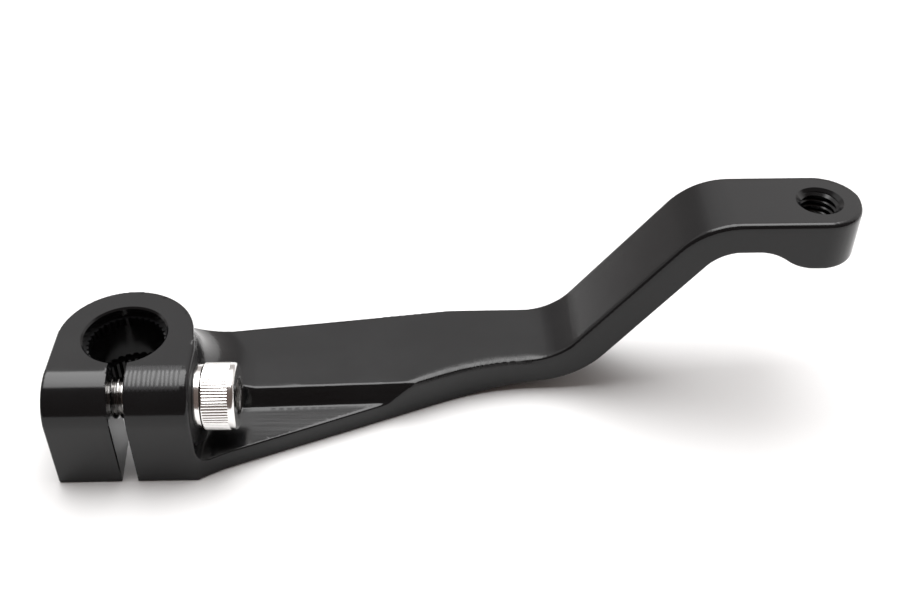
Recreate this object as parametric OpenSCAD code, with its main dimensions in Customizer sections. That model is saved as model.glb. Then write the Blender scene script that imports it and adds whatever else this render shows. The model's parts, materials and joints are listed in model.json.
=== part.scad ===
// Foot shift lever for a motorcycle: a split clamp hub that grips a serrated shaft,
// a flat arm that steps up over a foot guard, and a round end tapped for a foot peg.
// X runs along the pinch screw towards the peg end, Y towards the lever's back, Z up
// along the shaft. The origin is on the shaft's axis, at the clamp's underside.

/* [Clamp] */
// Radius of the clamp's round back, around the shaft
clamp_r = 13.1; // [12.6:0.1:13.6]
// Height of the clamp along the shaft
clamp_h = 22.2; // [21.6:0.1:23.2]
// Distance from the shaft's axis to the clamp's flat front
clamp_front = 17.8; // [17.4:0.1:18.6]
// Radius of the big round along the clamp's top front edge
nose_r = 8; // [6.5:0.1:8.2]
// Width of the slot that splits the clamp into two jaws
slot_w = 3; // [2.6:0.1:3.6]

/* [Shaft bore] */
// Diameter of the plain lead-in above the serrations
bore_d = 15.9; // [15.6:0.1:16.2]
// Diameter across the crests of the serrations
crest_d = 14.4; // [14.2:0.1:14.8]
// Number of serrations
serrations = 36; // [30:2:40]

/* [Pinch screw] */
// Thread diameter of the screw
screw_d = 8; // [7.8:0.1:8.2]
// Length of the screw under its head
screw_len = 25; // [24:0.5:26]
// Diameter of the head
head_d = 13; // [12.6:0.1:13.2]
// Height of the head
head_h = 6.5; // [6:0.1:7]
// Thickness of the lock washer
washer_t = 1.5; // [1.3:0.1:1.7]
// Height of the screw above the clamp's underside
screw_z = 13.8; // [13.5:0.1:14]

/* [Arm] */
// Distance along X from the shaft to the peg hole
reach = 134.7; // [132:0.2:138]
// Distance along Y from the shaft to the peg hole
offset = 14.3; // [14:0.05:15]
// Width of the narrow part of the arm
arm_w = 16.5; // [16:0.1:17]
// Thickness of the arm beside the clamp
root_t = 7.9; // [7.6:0.1:8.2]
// Thickness of the arm past the step
arm_t = 6.4; // [6:0.1:6.8]
// Angle of the step from the flat
step_angle = 51.7; // [49:0.1:54]

/* [Peg end] */
// Height of the peg end's top face above the clamp's underside
end_top = 41.5; // [40:0.05:42.5]
// Thickness of the boss round the peg hole
boss_t = 10.5; // [9.8:0.1:11]
// Diameter of the drilled hole before tapping
peg_drill = 6.8; // [6.6:0.1:7]
// Diameter of the countersink at the peg hole's mouth
peg_rim = 9.6; // [9:0.1:10]

/* [Hidden] */
$fn = 96;
// degrees turned by each step of a rounded corner
arc_step = 5;

// the thread turns in a plain hole this much wider all round
thread_play = 0.05;
// hole through the near jaw, where the screw only passes
pass_d = screw_d + 1;
// side of the clamp that the washer bears on
seat_x = clamp_r + 0.9;
screw_y = -8.8;
// the slot's centre line is a little towards the screw's head
slot_x = 0.6;
shank_end = seat_x + washer_t - screw_len;

// bore: lead-in, serrated stretches above and below the screw, relief between them
lead_depth = 2.2;
rim_chamfer = 0.35;
relief_low = screw_z - screw_d / 2 - 0.5;
relief_high = screw_z + screw_d / 2 + 0.3;
relief_d = bore_d + 0.4;
groove_depth = (bore_d - crest_d) / 2 - 0.15;
groove_w = 0.72;

// where the lines of the arm's side view meet
step_rise = tan(step_angle);
step_foot_x = 84.85;
foot_t = root_t + 0.2;
step_head_x = step_foot_x + (end_top - foot_t) / step_rise;
neck_t = 6.85;
under_x = step_foot_x + neck_t / sin(step_angle);
taper_x = 66;
taper_rise = 0.139;
under_foot_x = (step_rise * under_x - foot_t - taper_rise * taper_x) / (step_rise - taper_rise);
under_head_x = under_x + (end_top - arm_t - foot_t) / step_rise;
boss_drop = boss_t - arm_t;
boss_blend_r = 9.8;
boss_slope = 37.7;
boss_mid_x = reach - 6.8;
far_x = reach + arm_w;

// where the lines of the arm's top view meet
arm_back = offset + arm_w / 2;
arm_front = offset - arm_w / 2;
back_rise = 0.1214;
back_y0 = 14.86;
back_kink_x = (arm_back - back_y0) / back_rise;
front_rise = 0.405;
front_kink_x = 70.7;
front_toe_x = 19;
front_toe_y = arm_front - front_rise * (front_kink_x - front_toe_x);
root_fillet = 12;

// cross-section of the key channel, from its back wall's top edge
key_floor = 4.4;
key_crease = [-1.97, 4.56];
key_bend = -9;
key_skew = 1.3;
key_wall_y = -0.9;
// round at the foot of the screw's seat
seat_fillet = 2.4;

function unit(v) = v / norm(v);
function turned(v, a) = [v[0] * cos(a) - v[1] * sin(a), v[0] * sin(a) + v[1] * cos(a)];

// the arc of radius r that rounds the corner p between its neighbours a and b
function corner_arc(a, p, b, r) =
    let (
        ua = unit(a - p), ub = unit(b - p),
        half = acos(ua * ub) / 2,
        centre = p + unit(ua + ub) * r / sin(half),
        start = p + ua * r / tan(half) - centre,
        turn = (180 - 2 * half) * sign(ua[1] * ub[0] - ua[0] * ub[1]),
        steps = ceil(abs(turn) / arc_step)
    ) [for (i = [0:steps]) centre + turned(start, turn * i / steps)];

// an outline from corners [x, y] or, where they are rounded, [x, y, radius]
function xy(c) = [c[0], c[1]];
function rounded(corners) = [
    for (i = [0:len(corners) - 1])
        let (
            n = len(corners), c = corners[i],
            pts = len(c) < 3 ? [c]
                : corner_arc(xy(corners[(i + n - 1) % n]), xy(c), xy(corners[(i + 1) % n]), c[2])
        )
        for (p = pts) p
];

// seen from above
module arm_plan() {
    polygon(rounded([
        [-8, 9],
        [-7, 11],
        [1, back_y0 + back_rise, 14],
        [back_kink_x, arm_back, 20],
        [reach + arm_w / 2, arm_back, arm_w / 2],
        [reach + arm_w / 2, arm_front, arm_w / 2],
        [front_kink_x, arm_front, 50],
        [front_toe_x, front_toe_y, 20],
        [seat_x, -clamp_front + 0.2],
        [seat_x - 1.5, -clamp_front + 0.01],
        [1, -clamp_front + 0.01],
        [-6, 0]
    ]));
}

// seen from the front
module arm_side() {
    polygon(rounded([
        [-20, 0],
        [taper_x, 0, 40],
        [under_foot_x, taper_rise * (under_foot_x - taper_x), 19],
        [under_head_x, end_top - arm_t, 8.5],
        [boss_mid_x - boss_drop / 2 / tan(boss_slope), end_top - arm_t, boss_blend_r],
        [boss_mid_x + boss_drop / 2 / tan(boss_slope), end_top - boss_t, boss_blend_r],
        [far_x, end_top - boss_t],
        [far_x, end_top],
        [step_head_x, end_top, 14.5],
        [step_foot_x, foot_t, 13],
        [clamp_r, root_t],
        [-20, root_t]
    ]));
}

// stands a side view up, so that its x and y become X and Z
module stand_up(back, front) {
    translate([0, back, 0]) rotate([90, 0, 0]) linear_extrude(back - front) children();
}

// turns a cross-section up, so that its x and y become Y and Z
module along_x(from, to) {
    translate([from, 0, 0]) rotate([90, 0, 90]) linear_extrude(to - from) children();
}

module arm() {
    intersection() {
        linear_extrude(end_top + 1) arm_plan();
        stand_up(arm_back + 5, -clamp_front - 5) arm_side();
    }
}

module clamp_block() {
    intersection() {
        linear_extrude(clamp_h) {
            circle(clamp_r, $fn = 192);
            polygon([
                [-clamp_r, 0], [-clamp_r, -clamp_front], [seat_x, -clamp_front],
                [seat_x, -4], [clamp_r * cos(8), clamp_r * sin(8)], [0, 1]
            ]);
        }
        along_x(-clamp_r - 1, seat_x + 1)
            polygon(rounded([
                [-clamp_front, -1], [clamp_r + 1, -1], [clamp_r + 1, clamp_h + 1],
                [nose_r - clamp_front, clamp_h + 1], [nose_r - clamp_front, clamp_h],
                [-clamp_front, clamp_h, nose_r]
            ]));
    }
}

// concave round where the arm's top meets the clamp's side; it starts a hair inside both
module root_round() {
    inset = 0.03;
    low = root_t - inset;
    wall = clamp_r - inset;
    intersection() {
        rotate_extrude($fn = 192) polygon(rounded([
            [wall, low, root_fillet],
            [wall, low + root_fillet + 0.1],
            [wall - 3, low + root_fillet + 0.1],
            [wall - 3, low - 1],
            [wall + root_fillet + 0.1, low - 1],
            [wall + root_fillet + 0.1, low]
        ]));
        linear_extrude(clamp_h) arm_plan();
    }
}

// open channel that lets a hex key reach the screw's head
module key_channel() {
    intersection() {
        translate([seat_x, key_wall_y, 0]) rotate([0, 0, key_skew])
            along_x(-2, 60) polygon([
                [-30, key_floor], [key_bend, key_floor], key_crease, [0, root_t],
                [0, clamp_h + 5], [-30, clamp_h + 5]
            ]);
        stand_up(5, -30) polygon(rounded([
            [seat_x, key_floor, seat_fillet], [seat_x + 60, key_floor],
            [seat_x + 60, 60], [seat_x, 60]
        ]));
    }
}

// everything cut round the shaft's axis
module shaft_bore() {
    r = bore_d / 2;
    crest = crest_d / 2;
    translate([0, 0, -1]) cylinder(r = crest, h = clamp_h + 2);
    translate([0, 0, clamp_h - lead_depth]) cylinder(r = r, h = lead_depth + 1);
    translate([0, 0, clamp_h - rim_chamfer])
        cylinder(r1 = r, r2 = r + rim_chamfer + 0.01, h = rim_chamfer + 0.01);
    translate([0, 0, relief_low]) cylinder(d = relief_d, h = relief_high - relief_low);
    for (i = [0:serrations - 1]) rotate([0, 0, (i + 0.5) * 360 / serrations])
        linear_extrude(clamp_h - lead_depth + 0.5)
            polygon([
                [crest - 0.3, -groove_w / 2], [crest, -groove_w / 2], [crest + groove_depth, 0],
                [crest, groove_w / 2], [crest - 0.3, groove_w / 2]
            ]);
}

module screw_axis() {
    translate([0, screw_y, screw_z]) children();
}

module lever() {
    color([0.06, 0.06, 0.065]) difference() {
        union() {
            arm();
            clamp_block();
            root_round();
        }
        key_channel();
        shaft_bore();
        // slot from the bore out through the front
        translate([slot_x - slot_w / 2, -clamp_front - 1, -1])
            cube([slot_w, clamp_front + 1, clamp_h + 2]);
        screw_axis() {
            // tapped hole in the far jaw, and the plain hole through the near one
            rotate([0, -90, 0]) cylinder(r = screw_d / 2 + thread_play, h = clamp_r + 1);
            rotate([0, 90, 0]) cylinder(d = pass_d, h = seat_x + 1);
        }
        // peg hole, countersunk at both mouths
        translate([reach, offset, 0]) {
            translate([0, 0, end_top - boss_t - 1]) cylinder(d = peg_drill, h = boss_t + 2);
            mouth = (peg_rim - peg_drill) / 2;
            translate([0, 0, end_top - mouth]) cylinder(d1 = peg_drill, d2 = peg_rim + 0.2, h = mouth + 0.1);
            translate([0, 0, end_top - boss_t - 0.1])
                cylinder(d1 = peg_drill + 1.8, d2 = peg_drill, h = 0.9);
        }
    }
}

// split spring washer, its cut on the lower side
module lock_washer() {
    hole_r = screw_d / 2 + 0.35;
    color([0.75, 0.75, 0.76]) translate([seat_x, 0, 0]) screw_axis() difference() {
        rotate([0, 90, 0]) cylinder(d = head_d - 0.6, h = washer_t);
        translate([-1, 0, 0]) rotate([0, 90, 0]) cylinder(r = hole_r, h = washer_t + 2);
        rotate([200, 0, 0]) translate([washer_t / 2, 0, head_d / 2])
            rotate([0, 0, 22]) cube([washer_t * 3, 0.8, head_d - hole_r], center = true);
    }
}

// socket cap screw, head towards +X
module pinch_screw() {
    rim = 0.6;
    socket_af = 6;
    socket_depth = 4;
    tip = 0.9;
    head_x = seat_x + washer_t;
    color([0.8, 0.8, 0.81]) screw_axis() difference() {
        union() {
            translate([head_x, 0, 0]) rotate([0, 90, 0]) {
                cylinder(d = head_d, h = head_h - rim);
                translate([0, 0, head_h - rim]) cylinder(d1 = head_d, d2 = head_d - 2 * rim, h = rim);
            }
            translate([shank_end + tip, 0, 0]) rotate([0, 90, 0])
                cylinder(d = screw_d, h = head_x - shank_end - tip + 0.5);
            translate([shank_end, 0, 0]) rotate([0, 90, 0])
                cylinder(d1 = screw_d - 2 * tip, d2 = screw_d, h = tip);
        }
        translate([head_x + head_h - socket_depth, 0, 0]) rotate([0, 90, 0])
            cylinder(d = socket_af / cos(30), h = socket_depth + 1, $fn = 6);
    }
}

lever();
lock_washer();
pinch_screw();
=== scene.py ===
"""Looks of the foot shift lever: rounded and finished lever, knurled screw with its
thread, split washer, satin black and zinc finishes, light studio. Metres."""

import json
import math

import bmesh
import bpy
import numpy as np
import openvdb
from mathutils import Matrix, Vector


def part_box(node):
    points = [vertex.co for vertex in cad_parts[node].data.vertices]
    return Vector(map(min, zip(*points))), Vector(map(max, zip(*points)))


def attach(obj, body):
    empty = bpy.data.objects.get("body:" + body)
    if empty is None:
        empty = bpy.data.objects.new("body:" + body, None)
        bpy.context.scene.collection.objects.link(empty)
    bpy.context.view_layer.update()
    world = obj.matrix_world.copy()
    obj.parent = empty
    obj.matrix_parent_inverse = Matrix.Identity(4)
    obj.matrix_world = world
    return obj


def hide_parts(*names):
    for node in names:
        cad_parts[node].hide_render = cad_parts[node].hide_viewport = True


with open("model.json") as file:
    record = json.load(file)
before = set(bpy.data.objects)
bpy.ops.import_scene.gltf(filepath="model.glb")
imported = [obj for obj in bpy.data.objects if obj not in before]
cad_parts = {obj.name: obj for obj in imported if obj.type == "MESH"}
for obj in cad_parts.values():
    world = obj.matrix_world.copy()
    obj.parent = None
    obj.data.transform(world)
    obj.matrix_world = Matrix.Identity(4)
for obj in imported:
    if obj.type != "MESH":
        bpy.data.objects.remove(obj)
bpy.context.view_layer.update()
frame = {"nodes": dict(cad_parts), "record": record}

MM = 0.001
TAU = 2 * math.pi

# ---------------------------------------------------------------- sizes from the frame
lever_lo, lever_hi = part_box("lever")
washer_lo, washer_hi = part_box("lock_washer")
screw_lo, screw_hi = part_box("pinch_screw")
mounts = {m["name"]: m for m in frame["record"]["mounts"]}
peg = Vector(mounts["peg_thread"]["pos_m"])
peg_r = mounts["peg_thread"]["dims"]["r_mm"] * MM
crest_r = mounts["shaft_clamp"]["dims"]["r_mm"] * MM

seat_x = washer_lo.x
bearing_x = washer_hi.x
tip_x = screw_lo.x
end_x = screw_hi.x
axis_y = (screw_lo.y + screw_hi.y) / 2
axis_z = (screw_lo.z + screw_hi.z) / 2
head_r = 6.5 * MM
clamp_h = 22.2 * MM
end_thick = 10.5 * MM
slot_lo, slot_hi = -0.9 * MM, 2.1 * MM
PITCH = 1.25 * MM  # M8


# ---------------------------------------------------------------- mesh helpers
def smoothstep(a, b, x):
    t = min(1.0, max(0.0, (x - a) / (b - a)))
    return t * t * (3 - 2 * t)


def obj_from(name, bm):
    bmesh.ops.recalc_face_normals(bm, faces=bm.faces)
    me = bpy.data.meshes.new(name)
    bm.to_mesh(me)
    bm.free()
    o = bpy.data.objects.new(name, me)
    bpy.context.scene.collection.objects.link(o)
    return o


def shade(o, angle):
    """Smooth shading with edges sharper than the angle, in degrees, kept hard."""
    me = o.data
    me.shade_smooth()
    bm = bmesh.new()
    bm.from_mesh(me)
    for e in bm.edges:
        e.smooth = len(e.link_faces) == 2 and e.calc_face_angle(0) < math.radians(angle)
    bm.to_mesh(me)
    bm.free()


def ring_grid(bm, rings):
    """Quads between successive rings of the same length; a ring of one vertex is a cap's centre."""
    for a, b in zip(rings, rings[1:]):
        n = max(len(a), len(b))
        for j in range(n):
            k = (j + 1) % n
            quad = [a[j % len(a)], a[k % len(a)], b[k % len(b)], b[j % len(b)]]
            face = []
            for v in quad:
                if v not in face:
                    face.append(v)
            bm.faces.new(face)


def on_axis(x, r, t):
    """Point at radius r and angle t round the screw's axis, which runs along X."""
    return Vector((x, axis_y + r * math.cos(t), axis_z + r * math.sin(t)))


def ring_at(bm, x, r, columns):
    return [bm.verts.new(on_axis(x, r, TAU * j / columns)) for j in range(columns)]


def join(target, tool, operation):
    m = target.modifiers.new("join", "BOOLEAN")
    m.operation, m.solver, m.object = operation, "EXACT", tool
    apply_modifiers(target)
    bpy.data.objects.remove(tool)


def apply_modifiers(o):
    dg = bpy.context.evaluated_depsgraph_get()
    me = bpy.data.meshes.new_from_object(o.evaluated_get(dg))
    o.modifiers.clear()
    old = o.data
    o.data = me
    bpy.data.meshes.remove(old)
    me.name = o.name


# ---------------------------------------------------------------- screw thread
# one turn's section: share of the pitch, and height from root to crest, both 0 to 1
THREAD = [(0.0, 0.0), (0.08, 0.0), (0.42, 1.0), (0.5, 1.0), (0.58, 1.0), (0.92, 0.0)]


def thread_ribbon(start, end, minor, major, place, columns=72, limit=None):
    """Closed solid with a right-hand V thread between two planes across its axis.

    place(s, r, t) turns a point at s along the axis, radius r and angle t into world
    coordinates; limit(s, r) may lower the radius, for a chamfered end."""
    rows = len(THREAD)
    bm = bmesh.new()
    first = math.floor(start / PITCH) - 2
    last = math.ceil(end / PITCH) + 2
    rings = []
    for i in range((last - first) * rows):
        ring = []
        for j in range(columns):
            share, height = THREAD[i % rows]
            s = (first + i // rows + share + j / columns) * PITCH
            r = minor + (major - minor) * height
            if limit:
                r = limit(s, r)
            ring.append(bm.verts.new(place(s, r, TAU * j / columns)))
        rings.append(ring)
    for i in range(len(rings) - rows - 1):
        for j in range(columns):
            k = j + 1
            a, b = rings[i], rings[i + 1]
            if k < columns:
                bm.faces.new((a[j], a[k], b[k], b[j]))
            else:
                bm.faces.new((a[j], rings[i + rows][0], rings[i + rows + 1][0], b[j]))
    origin = place(0, 0, 0)
    along = place(1, 0, 0) - origin
    for s, sign in ((start, -1), (end, 1)):
        geom = bm.verts[:] + bm.edges[:] + bm.faces[:]
        cut = bmesh.ops.bisect_plane(
            bm, geom=geom, plane_co=origin + along * s, plane_no=along * sign,
            clear_outer=True, dist=1e-8)
        edges = [g for g in cut["geom_cut"] if isinstance(g, bmesh.types.BMEdge)]
        bmesh.ops.edgeloop_fill(bm, edges=edges)
    loose = [v for v in bm.verts if not v.link_faces]
    bmesh.ops.delete(bm, geom=loose, context="VERTS")
    bmesh.ops.triangulate(bm, faces=[f for f in bm.faces if len(f.verts) > 4])
    return bm


# ---------------------------------------------------------------- pinch screw
RIDGES = 64
PER_RIDGE = 6
COLUMNS = RIDGES * PER_RIDGE


def hex_radius(t, flat):
    a = (t + math.pi / 6) % (math.pi / 3) - math.pi / 6
    return flat / math.cos(a)


def screw_head():
    knurl_depth = 0.115 * MM
    knurl_from, knurl_to = bearing_x + 0.32 * MM, bearing_x + 5.3 * MM
    ramp, steps = 0.2 * MM, 4
    band_r = head_r - 0.04 * MM
    rim = 0.75 * MM
    mouth_r, mouth_slope = 3.75 * MM, 0.6
    flat = 3.0 * MM
    socket_floor = end_x - 4 * MM
    # (x, radius, share of the knurl's depth) from the bearing face to the end face
    outline = [(bearing_x, 3.0 * MM, 0), (bearing_x, head_r - 0.42 * MM, 0),
               (bearing_x + 0.3 * MM, band_r, 0), (knurl_from, head_r - 0.01 * MM, 0)]
    for i in range(1, steps + 1):
        outline.append((knurl_from + i / steps * ramp, head_r, smoothstep(0, 1, i / steps)))
    for i in range(1, 9):
        x = knurl_from + ramp + i / 9 * (knurl_to - knurl_from - 2 * ramp)
        outline.append((x, head_r, 1))
    for i in range(steps + 1):
        k = i / steps
        outline.append((knurl_to - (1 - k) * ramp, head_r + (band_r - head_r) * k,
                        smoothstep(0, 1, 1 - k)))
    for a in range(0, 91, 10):
        s, c = math.sin(math.radians(a)), math.cos(math.radians(a))
        outline.append((end_x - rim + rim * s, band_r - rim + rim * c, 0))
    outline.append((end_x, 4.4 * MM, 0))
    bm = bmesh.new()
    rings = []
    for x, r, k in outline:
        ring = []
        for j in range(COLUMNS):
            u = (j % PER_RIDGE) / PER_RIDGE
            tooth = 1 - abs(u - 0.5) * 2
            cut = knurl_depth * k * (1 - smoothstep(0.0, 0.6, tooth))
            ring.append(bm.verts.new(on_axis(x, r - cut, TAU * j / COLUMNS)))
        rings.append(ring)
    # the socket: a cone from a round mouth to the hexagon, its walls, and a drilled floor
    rings.append(ring_at(bm, end_x, mouth_r, COLUMNS))
    for cone, wall in ((0.5, 0), (1, 0), (1, 0.35), (1, 1)):
        ring = []
        for j in range(COLUMNS):
            t = TAU * j / COLUMNS
            r = mouth_r + (hex_radius(t, flat) - mouth_r) * cone
            x = end_x - (mouth_r - r) * mouth_slope
            ring.append(bm.verts.new(on_axis(x + (socket_floor - x) * wall, r, t)))
        rings.append(ring)
    rings.append(ring_at(bm, socket_floor, 2.7 * MM, COLUMNS))
    rings.append(ring_at(bm, socket_floor - 0.9 * MM, 1.1 * MM, COLUMNS))
    rings.append([bm.verts.new(on_axis(socket_floor - 1.3 * MM, 0, 0))])
    ring_grid(bm, rings)
    back = [bm.verts.new(on_axis(bearing_x, 0, 0))]
    ring_grid(bm, [rings[0], back])
    return bm


def make_screw():
    head = obj_from("screw_body", screw_head())
    minor, major = 3.38 * MM, 3.98 * MM
    neck_r, tip_r = 3.9 * MM, 3.1 * MM

    def limit(s, r):
        neck = smoothstep(bearing_x - 2.6 * MM, bearing_x - 1.6 * MM, s)
        r = r + (neck_r - r) * neck
        return min(r, tip_r + (s - tip_x))

    shank = obj_from("shank", thread_ribbon(
        tip_x, bearing_x + 0.5 * MM, minor, major, on_axis, limit=limit))
    join(head, shank, "UNION")
    return head


# ---------------------------------------------------------------- lock washer
def make_washer():
    outer, inner = 6.2 * MM, 4.35 * MM
    round_r = 0.18 * MM
    gap_angle = math.radians(290)
    half_gap = 0.4 * MM
    slant = math.tan(math.radians(22))
    lo, hi = seat_x, bearing_x
    section = []
    for cx, cr, sx, sr, first in ((hi, outer, -1, -1, 0), (lo, outer, 1, -1, 90),
                                  (lo, inner, 1, 1, 180), (hi, inner, -1, 1, 270)):
        for k in range(4):
            a = math.radians(first + 30 * k)
            section.append((cx + sx * round_r + round_r * math.cos(a),
                            cr + sr * round_r + round_r * math.sin(a)))
    bm = bmesh.new()
    columns = 120
    rings = []
    for i in range(columns + 1):
        u = i / columns
        ring = []
        for x, r in section:
            skew = (x - (lo + hi) / 2) * slant
            a0 = gap_angle + (half_gap + skew) / r
            a1 = gap_angle + TAU - (half_gap - skew) / r
            ring.append(bm.verts.new(on_axis(x, r, a0 + (a1 - a0) * u)))
        rings.append(ring)
    ring_grid(bm, rings)
    bm.faces.new(rings[0])
    bm.faces.new(list(reversed(rings[-1])))
    return obj_from("washer_body", bm)


# ---------------------------------------------------------------- lever
def prism(name, outline, place, lo, hi):
    """Closed solid: an outline of (u, v) points carried from lo to hi by place(u, v, w)."""
    bm = bmesh.new()
    rings = [[bm.verts.new(place(u, v, w)) for u, v in outline] for w in (lo, hi)]
    ring_grid(bm, rings)
    bm.faces.new(rings[0])
    bm.faces.new(rings[1])
    return obj_from(name, bm)


def turned(name, profile, place, columns=96):
    """Closed solid of revolution from (radius, height) points, capped at both ends."""
    bm = bmesh.new()
    angles = [TAU * (j + 0.31) / columns for j in range(columns)]
    rings = [[bm.verts.new(place(r * math.cos(t), r * math.sin(t), w)) for t in angles]
             for r, w in profile]
    ring_grid(bm, rings)
    bm.faces.new(rings[0])
    bm.faces.new(rings[-1])
    return obj_from(name, bm)


def along_z(x, y):
    return lambda u, v, w: Vector((x + u, y + v, w))


def along_screw(u, v, w):
    return Vector((w, axis_y + u, axis_z + v))


def clean(o, angle=0.4):
    bm = bmesh.new()
    bm.from_mesh(o.data)
    bmesh.ops.remove_doubles(bm, verts=bm.verts, dist=2e-6)
    bmesh.ops.dissolve_limit(
        bm, angle_limit=math.radians(angle), verts=bm.verts, edges=bm.edges, delimit=set())
    bm.to_mesh(o.data)
    bm.free()


def surface(o):
    """Points and triangles of a mesh, as arrays."""
    bm = bmesh.new()
    bm.from_mesh(o.data)
    bmesh.ops.triangulate(bm, faces=bm.faces[:])
    bm.verts.index_update()
    points = np.array([v.co[:] for v in bm.verts], np.float32)
    triangles = np.array([[v.index for v in f.verts] for f in bm.faces], np.uint32)
    bm.free()
    return points, triangles


def rounded_fields(o, voxel, inner, radii):
    """Signed distances to the solid after its inside corners are filled to one radius and its
    outside edges rounded to each of several: grown, shrunk, and grown back."""
    place = openvdb.createLinearTransform(voxel)

    def level(points, reach, **faces):
        return openvdb.FloatGrid.createLevelSetFromPolygons(
            points, transform=place, halfWidth=reach / voxel + 2, **faces)

    points, triangles = surface(o)
    points, quads = level(points, inner, triangles=triangles).convertToQuads(isovalue=inner)
    grown = level(points, inner + max(radii), quads=quads)
    lo = [math.floor(c / voxel) - 4 for c in lever_lo]
    size = [math.ceil(c / voxel) + 4 - a for c, a in zip(lever_hi, lo)]
    fields = []
    for radius in radii:
        points, quads = grown.convertToQuads(isovalue=-(inner + radius))
        field = np.empty(size, np.float32)
        level(points, radius, quads=quads).copyToArray(field, ijk=lo)
        fields.append(np.clip(field - radius, -2 * voxel, 2 * voxel))
    return fields, lo


FRONT_Y, FRONT_X, FRONT_BOW = 6.1, 80, 0.0108


def ease(a, b, x):
    t = np.clip((x - a) / (b - a), 0, 1)
    return t * t * (3 - 2 * t)


def front_edge(x):
    """Y of the arm's bowed front edge at x, both in millimetres."""
    return FRONT_Y - FRONT_BOW * max(FRONT_X - x, 0) ** 2


def round_edges(o, voxel):
    """Gives the solid its finished edges: small rounds, and larger ones along the arm's front.
    Numbers are in millimetres; the fields' own distances are in metres."""
    fillet, small_r, large_r = 0.12 * MM, 0.2 * MM, 0.85 * MM
    flatness = 0.002
    (field, large), lo = rounded_fields(o, voxel, fillet, (small_r, large_r))
    step = voxel / MM
    y = ((np.arange(field.shape[1]) + lo[1]) * step)[:, None]
    z = ((np.arange(field.shape[2]) + lo[2]) * step)[None, :]
    # the slot points at the bore's centre: it is filled as the jaw beside it, and cut again
    jaw_x, jaw_front, fill_lo, fill_hi, fill_y = -3.2, -17.8, -2.5, 3.6, -4
    jaw = field[round(jaw_x / step) - lo[0]].copy()
    slot_x = 0.66 - 0.057 * (y - jaw_front)
    half_slot = 1.5 + 0.02 * (y - jaw_front)
    # the arm: top of its foot, a point on its step and the step's slope, and top of its end
    foot_top, step_x, step_z, step_rise, arm_top = 7.9, 84.85, 8.1, 1.266, 41.5
    for i in range(field.shape[0]):
        x = (lo[0] + i) * step
        if fill_lo < x < fill_hi:
            slotted = np.maximum(jaw, (half_slot - abs(x - slot_x)) * MM)
            field[i] = np.where(y < fill_y, slotted, field[i])
        # the front half of the arm's top has the larger round, fully only on the step
        middle = max(14.3 - max(0, 70 - x) * 0.13, 4)
        top = min(max(step_z + (x - step_x) * step_rise, foot_top), arm_top)
        share = max(ease(80, 90, x), 0.3 * ease(48, 56, x))
        share = share * ease(middle + 2, middle - 2, y) * ease(top - 4.2, top - 2.8, z)
        # so has the front of the right jaw's outer face
        jaw_share = ease(12.2, 12.8, x) * ease(15, 14.6, x) * ease(-2, -4, y) * ease(5, 7, z)
        share = np.maximum(share, jaw_share)
        field[i] += share * (large[i] - field[i])
        # the arm's top falls away a little along its front edge
        crown = np.clip(1 - (y - front_edge(x)) / 2.3, 0, 1) ** 2 * ease(top - 0.9, top - 0.3, z)
        field[i] += 0.19 * MM * ease(50, 57, x) * ease(84, 79, x) * crown
    grid = openvdb.FloatGrid()
    grid.background = 2 * voxel
    grid.transform = openvdb.createLinearTransform(voxel)
    grid.copyFromArray(field, ijk=lo)
    points, triangles, quads = grid.convertToPolygons(isovalue=0, adaptivity=flatness)
    points = np.clip(points, lever_lo, lever_hi)
    me = bpy.data.meshes.new(o.name)
    me.from_pydata(points.tolist(), [], triangles[:, ::-1].tolist() + quads[:, ::-1].tolist())
    o.data = me


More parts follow.
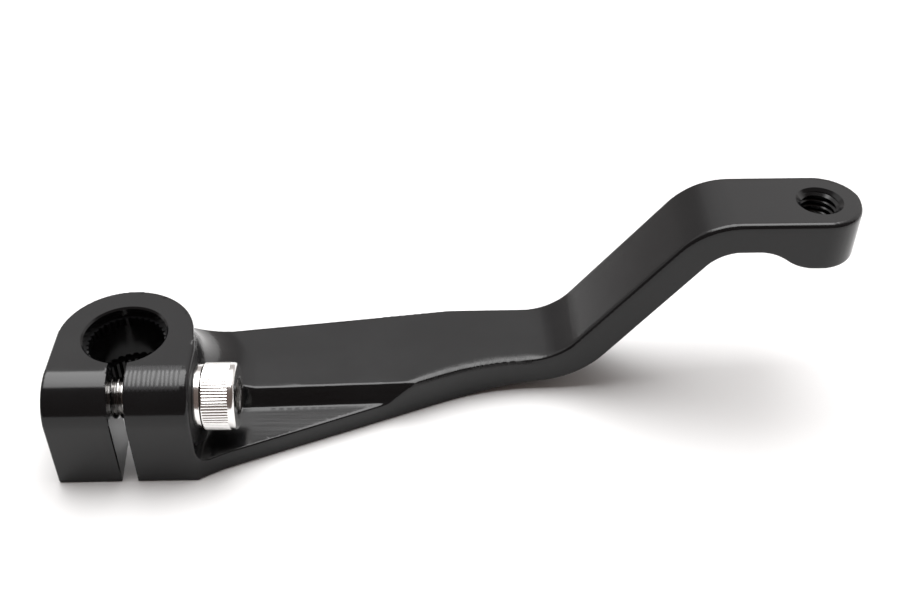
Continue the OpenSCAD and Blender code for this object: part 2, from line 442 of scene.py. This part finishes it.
def make_lever():
    node = frame["nodes"]["lever"]
    o = bpy.data.objects.new("lever_body", node.data.copy())
    bpy.context.scene.collection.objects.link(o)
    clean(o)
    hub = along_z(0, 0)
    peg_axis = along_z(peg.x, peg.y)
    end_top, end_low = lever_hi.z, lever_hi.z - end_thick
    past = 1 * MM
    # the holes are filled while the outside is rounded, and cut again after it
    for radius, lo, hi, place in (
            (8.6 * MM, 0, clamp_h, hub), (5.2 * MM, end_low, end_top, peg_axis),
            (4.8 * MM, lever_lo.x, seat_x, along_screw)):
        join(o, turned("plug", [(radius, lo), (radius, hi)], place), "UNION")
    slot = [(slot_lo, lever_lo.y - past), (slot_hi, lever_lo.y - past), (slot_hi, 0), (slot_lo, 0)]
    join(o, prism("cut", slot, hub, -past, clamp_h + past), "DIFFERENCE")
    clean(o)
    round_edges(o, (0.2) * MM)

    # the bore: serrations, a plain lead-in at the top, and a relief band
    serrations, tooth_h = 36, 0.6 * MM
    half = 0.36 * MM / crest_r
    lead, lead_r, bevel = 2.2 * MM, 7.95 * MM, 0.36 * MM
    relief_r, relief_lo, relief_hi = 8.15 * MM, 9.3 * MM, 18.1 * MM
    serrated = []
    for i in range(serrations):
        mid = (i + 0.5) * TAU / serrations
        for r, t in ((crest_r, mid - half), (crest_r + tooth_h, mid), (crest_r, mid + half)):
            serrated.append((r * math.cos(t), r * math.sin(t)))
    bore = prism("cut", serrated, hub, -past, clamp_h - lead + 0.2 * MM)
    join(bore, turned("cut", [(lead_r, clamp_h - lead), (lead_r, clamp_h - 0.35 * MM),
                              (lead_r + bevel, clamp_h + 0.01 * MM),
                              (lead_r + bevel, clamp_h + past)], hub, 144), "UNION")
    join(bore, turned("cut", [(relief_r, relief_lo), (relief_r, relief_hi)], hub, 144), "UNION")

    # the screw's clearance hole in the near jaw, and its thread in the far one
    def round_axis(s, r, t):
        return along_screw(r * math.cos(t), r * math.sin(t), s)

    def round_peg(s, r, t):
        return peg_axis(r * math.cos(t), r * math.sin(t), s)

    clear_r = 4.5 * MM
    join(bore, turned("cut", [(clear_r, 0.6 * MM), (clear_r, seat_x + past)], along_screw), "UNION")
    join(bore, obj_from("cut", thread_ribbon(
        lever_lo.x - past, 0.7 * MM, 3.45 * MM, 4.05 * MM, round_axis)), "UNION")

    # the peg's thread, countersunk at both ends
    tap = obj_from("cut", thread_ribbon(
        end_low - 1.4 * MM, end_top + 1.4 * MM, peg_r, peg_r + 0.6 * MM, round_peg))
    top_r, low_r = peg_r + 1.2 * MM, peg_r + 0.9 * MM
    join(tap, turned("cut", [(peg_r - 0.1 * MM, end_top - 1.15 * MM), (top_r, end_top),
                             (top_r, end_top + past)], peg_axis), "UNION")
    join(tap, turned("cut", [(low_r, end_low - 0.9 * MM), (low_r, end_low),
                             (peg_r - 0.07 * MM, end_low + 0.97 * MM)], peg_axis, 80), "UNION")
    join(o, bore, "DIFFERENCE")
    join(o, tap, "DIFFERENCE")
    return o


# ---------------------------------------------------------------- finishes
def node_tree(mat):
    mat.use_nodes = True
    nt = mat.node_tree
    nt.nodes.clear()
    out = nt.nodes.new("ShaderNodeOutputMaterial")
    bsdf = nt.nodes.new("ShaderNodeBsdfPrincipled")
    nt.links.new(bsdf.outputs[0], out.inputs[0])
    return nt, bsdf


def noise(nt, coord, scale, detail=3, rough=0.5):
    n = nt.nodes.new("ShaderNodeTexNoise")
    n.inputs["Scale"].default_value = scale
    n.inputs["Detail"].default_value = detail
    n.inputs["Roughness"].default_value = rough
    nt.links.new(coord, n.inputs["Vector"])
    return n.outputs["Fac"]


def remap(nt, value, lo, hi, to_lo, to_hi):
    n = nt.nodes.new("ShaderNodeMapRange")
    nt.links.new(value, n.inputs["Value"])
    for key, v in (("From Min", lo), ("From Max", hi), ("To Min", to_lo), ("To Max", to_hi)):
        n.inputs[key].default_value = v
    return n.outputs["Result"]


def calculate(nt, op, *values):
    n = nt.nodes.new("ShaderNodeMath")
    n.operation = op
    for k, v in enumerate(values):
        if isinstance(v, (int, float)):
            n.inputs[k].default_value = v
        else:
            nt.links.new(v, n.inputs[k])
    return n.outputs[0]


def inside(nt, value, lo, hi, blur):
    """One where the value lies between two limits, falling to nothing over the blur."""
    return calculate(nt, "MULTIPLY", remap(nt, value, lo - blur, lo + blur, 0, 1),
                     remap(nt, value, hi - blur, hi + blur, 1, 0))


def separated(nt, coord):
    n = nt.nodes.new("ShaderNodeSeparateXYZ")
    nt.links.new(coord, n.inputs[0])
    return n.outputs


def stretched(nt, coord, factors):
    n = nt.nodes.new("ShaderNodeVectorMath")
    n.operation = "MULTIPLY"
    nt.links.new(coord, n.inputs[0])
    n.inputs[1].default_value = factors
    return n.outputs[0]


def blended(nt, share, first, second):
    """Mix of two colours; each is a linked socket or an RGB tuple."""
    n = nt.nodes.new("ShaderNodeMix")
    n.data_type = "RGBA"
    nt.links.new(share, n.inputs["Factor"])
    for k, v in ((6, first), (7, second)):
        if isinstance(v, tuple):
            n.inputs[k].default_value = (*v, 1)
        else:
            nt.links.new(v, n.inputs[k])
    return n.outputs[2]


def bumped(nt, height, strength, distance, below=None):
    n = nt.nodes.new("ShaderNodeBump")
    n.inputs["Strength"].default_value = strength
    n.inputs["Distance"].default_value = distance
    nt.links.new(height, n.inputs["Height"])
    if below:
        nt.links.new(below, n.inputs["Normal"])
    return n.outputs["Normal"]


def black_finish():
    mat = bpy.data.materials.new("black_aluminium")
    nt, bsdf = node_tree(mat)
    coord = nt.nodes.new("ShaderNodeTexCoord").outputs["Object"]
    x, y, z = separated(nt, coord)
    fine = noise(nt, coord, 5200, 2)
    blotch = noise(nt, coord, 70, 4, 0.6)

    # the screw's seat is spot faced and duller than the rest
    seat_r, seat_dull = 9 * MM, 0.5
    near = nt.nodes.new("ShaderNodeVectorMath")
    near.operation = "DISTANCE"
    nt.links.new(stretched(nt, coord, (0, 1, 1)), near.inputs[0])
    near.inputs[1].default_value = (0, axis_y, axis_z)
    seat = calculate(nt, "MULTIPLY", inside(nt, near.outputs["Value"], -1, seat_r, 0.5 * MM),
                     inside(nt, x, seat_x - 0.1 * MM, seat_x + 1 * MM, 0.05 * MM))

    # cutter marks, upright on the right jaw's nose
    mark_spacing, mark_dull = 0.85 * MM, 0.25
    nose = calculate(nt, "MULTIPLY", inside(nt, x, 2.2 * MM, 12.4 * MM, 0.1 * MM),
                     inside(nt, y, -14.2 * MM, -9.1 * MM, 0.35 * MM))
    nose = calculate(nt, "MULTIPLY", nose, inside(nt, z, 20 * MM, 30 * MM, 1 * MM))
    drift = remap(nt, noise(nt, stretched(nt, coord, (1, 0.3, 0.3)), 500, 1), 0, 1, -3, 3)
    turns = calculate(nt, "ADD", calculate(nt, "MULTIPLY", x, TAU / mark_spacing), drift)
    wave = remap(nt, calculate(nt, "SINE", turns), -1, 1, 0, 1)
    dull_marks = calculate(nt, "MULTIPLY", nose, wave)

    # and lengthwise on the channel's floor
    floor = calculate(nt, "MULTIPLY", inside(nt, x, 24 * MM, 60 * MM, 2 * MM),
                      inside(nt, z, 0.5 * MM, 7 * MM, 0.3 * MM))
    floor_lines = noise(nt, stretched(nt, coord, (0.03, 1, 1)), 1400, 1)
    floor_lines = remap(nt, floor_lines, 0.3, 0.7, -0.05, 0.05)
    marks = calculate(nt, "ADD", calculate(nt, "MULTIPLY", dull_marks, 0.25),
                      calculate(nt, "MULTIPLY", floor, floor_lines))

    # the arm's front edge is rubbed duller, in streaks across it
    bow = calculate(nt, "MAXIMUM", calculate(nt, "SUBTRACT", FRONT_X * MM, x), 0)
    bow = calculate(nt, "MULTIPLY", calculate(nt, "MULTIPLY", bow, bow), FRONT_BOW / MM)
    front = calculate(nt, "SUBTRACT", FRONT_Y * MM, bow)
    depth = remap(nt, calculate(nt, "SUBTRACT", y, front), 0, 2.4 * MM, 1, 0)
    rubbed = calculate(nt, "MULTIPLY", depth, inside(nt, x, 54 * MM, 82 * MM, 4 * MM))
    rubbed = calculate(nt, "MULTIPLY", rubbed, inside(nt, z, 7 * MM, 9.5 * MM, 0.3 * MM))
    streak = noise(nt, stretched(nt, coord, (1, 0.05, 0.05)), 2200, 1)
    streak = remap(nt, streak, 0.35, 0.65, 0.08, 0.26)

    rough = remap(nt, blotch, 0.3, 0.7, 0.13, 0.17)
    rough = calculate(nt, "ADD", rough, calculate(nt, "MULTIPLY", seat, seat_dull))
    rough = calculate(nt, "ADD", rough, calculate(nt, "MULTIPLY", rubbed, streak))
    rough = calculate(nt, "ADD", rough, calculate(nt, "MULTIPLY", dull_marks, mark_dull))
    nt.links.new(rough, bsdf.inputs["Roughness"])

    colour = blended(nt, remap(nt, blotch, 0.3, 0.7, 0, 1),
                     (0.005, 0.0051, 0.0055), (0.007, 0.0071, 0.0076))
    # the nose between the dull cutter marks is painted lighter: a painted highlight along the
    # milled ripples
    painted_highlight_stripes = calculate(nt, "SUBTRACT", nose, dull_marks)
    colour = blended(nt, painted_highlight_stripes, colour, (0.03, 0.03, 0.032))
    nt.links.new(colour, bsdf.inputs["Base Color"])

    cuts = bumped(nt, marks, 1, 0.03 * MM)
    nt.links.new(bumped(nt, fine, 0.1, 0.02 * MM, cuts), bsdf.inputs["Normal"])
    bsdf.inputs["IOR"].default_value = 1.39
    return mat


def zinc_finish():
    mat = bpy.data.materials.new("zinc_steel")
    nt, bsdf = node_tree(mat)
    coord = nt.nodes.new("ShaderNodeTexCoord").outputs["Object"]
    x = separated(nt, coord)["X"]
    fine = noise(nt, coord, 3000, 2)
    blotch = noise(nt, coord, 300, 3)
    bsdf.inputs["Metallic"].default_value = 1
    nt.links.new(remap(nt, blotch, 0.3, 0.7, 0.14, 0.2), bsdf.inputs["Roughness"])
    # darker down in the thread, and a painted shadow line in the gap where the head meets the
    # washer
    thread = inside(nt, x, -1, seat_x - 1 * MM, 0.5 * MM)
    line = inside(nt, x, bearing_x - 0.06 * MM, bearing_x + 0.24 * MM, 0.04 * MM)
    dark_thread_and_gap_shade = calculate(nt, "MAXIMUM", calculate(nt, "MULTIPLY", thread, 0.62),
                      calculate(nt, "MULTIPLY", line, 0.93))
    # the base colour carries that painted gap shadow and the darker thread
    nt.links.new(blended(nt, dark_thread_and_gap_shade, (0.88, 0.87, 0.855), (0.05, 0.045, 0.042)),
                 bsdf.inputs["Base Color"])
    nt.links.new(bumped(nt, fine, 0.15, 0.02 * MM), bsdf.inputs["Normal"])
    return mat


def dress(o, mat, body, slot, *nodes):
    m = o.modifiers.new("normals", "WEIGHTED_NORMAL")
    m.keep_sharp = True
    o.data.materials.clear()
    o.data.materials.append(mat)
    for p in o.data.polygons:
        p.material_index = 0
    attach(o, body)
    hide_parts(*nodes)


# ---------------------------------------------------------------- studio
def make_camera():
    cam = bpy.data.cameras.new("camera")
    cam.sensor_width = 36
    cam.lens = 46.707
    o = bpy.data.objects.new("camera", cam)
    bpy.context.scene.collection.objects.link(o)
    # solved from the photo, with the lens
    place = Vector((57.694, -170.111, 171.232)) * MM
    heading, tilt, roll = math.radians(-1.663), math.radians(50.24), math.radians(0.27)
    turn = (Matrix.Rotation(heading, 4, "Z") @ Matrix.Rotation(tilt, 4, "X")
            @ Matrix.Rotation(roll, 4, "Z"))
    o.matrix_world = Matrix.Translation(place) @ turn
    cam.clip_start, cam.clip_end = 0.01, 20
    bpy.context.scene.camera = o


def make_floor():
    bm = bmesh.new()
    middle_x, level, columns = 0.06, -0.02 * MM, 48
    angles = [TAU * j / columns for j in range(columns)]
    rings = [[bm.verts.new((middle_x + r * math.cos(t), r * math.sin(t), level)) for t in angles]
             for r in (0.5, 4.0)]
    ring_grid(bm, rings)
    bm.faces.new(rings[0])
    floor = obj_from("floor", bm)
    mat = bpy.data.materials.new("floor")
    bsdf = node_tree(mat)[1]
    bsdf.inputs["Base Color"].default_value = (0.72, 0.72, 0.72, 1)
    bsdf.inputs["Roughness"].default_value = 0.9
    bsdf.inputs["Specular IOR Level"].default_value = 0.1
    floor.data.materials.append(mat)


def make_sky():
    """Softbox studio painted on the world: a bright bank overhead, a softer wall behind,
    a dim room in front. The camera sees plain white."""
    world = bpy.data.worlds.new("studio")
    bpy.context.scene.world = world
    world.use_nodes = True
    nt = world.node_tree
    nt.nodes.clear()
    out = nt.nodes.new("ShaderNodeOutputWorld")
    x, y, z = separated(nt, nt.nodes.new("ShaderNodeTexCoord").outputs["Generated"])

    def calc(op, *values):
        return calculate(nt, op, *values)

    def soft(value, lo, hi):
        n = nt.nodes.new("ShaderNodeMapRange")
        n.interpolation_type = "SMOOTHSTEP"
        nt.links.new(value, n.inputs["Value"])
        n.inputs["From Min"].default_value = lo
        n.inputs["From Max"].default_value = hi
        return n.outputs["Result"]

    # in degrees: elevation over the back horizon, 0 to 180 from back to front, seen along X
    tilt = calc("MULTIPLY", calc("ARCTAN2", z, y), 180 / math.pi)
    side = calc("MULTIPLY", calc("ARCSINE", x), 180 / math.pi)
    wall_level, panel_level, bank_level = 0.4, 0.65, 6.6
    bank = calc("MULTIPLY", soft(tilt, 48.5, 51.5), soft(tilt, 101, 97))
    bank = calc("MULTIPLY", bank, soft(calc("ABSOLUTE", side), 28, 18))
    behind = soft(y, -0.1, 0.2)
    panel = soft(calc("MULTIPLY_ADD", side, 0.15, tilt), 29, 37)
    level = calc("MULTIPLY", behind, calc("MULTIPLY_ADD", panel, panel_level, wall_level))
    level = calc("MULTIPLY_ADD", bank, bank_level, level)
    light = nt.nodes.new("ShaderNodeBackground")
    light.inputs["Color"].default_value = (1, 1, 1, 1)
    nt.links.new(level, light.inputs["Strength"])
    room = nt.nodes.new("ShaderNodeBackground")
    room.inputs["Color"].default_value = (1, 0.78, 0.7, 1)
    room.inputs["Strength"].default_value = 0.14
    both = nt.nodes.new("ShaderNodeAddShader")
    nt.links.new(light.outputs[0], both.inputs[0])
    nt.links.new(room.outputs[0], both.inputs[1])
    white = nt.nodes.new("ShaderNodeBackground")
    white.inputs["Color"].default_value = (1, 1, 1, 1)
    path = nt.nodes.new("ShaderNodeLightPath")
    mix = nt.nodes.new("ShaderNodeMixShader")
    nt.links.new(path.outputs["Is Camera Ray"], mix.inputs[0])
    nt.links.new(both.outputs[0], mix.inputs[1])
    nt.links.new(white.outputs[0], mix.inputs[2])
    nt.links.new(mix.outputs[0], out.inputs[0])


black = black_finish()
zinc = zinc_finish()

lever_body = make_lever()
shade(lever_body, 35)
dress(lever_body, black, "lever", "black_aluminium", "lever")

screw_body = make_screw()
shade(screw_body, 40)
dress(screw_body, zinc, "screw", "zinc_steel", "pinch_screw")

washer_body = make_washer()
shade(washer_body, 50)
dress(washer_body, zinc, "washer", "zinc_steel", "lock_washer")

make_camera()
make_floor()
make_sky()

bpy.context.scene.view_settings.view_transform = "Standard"
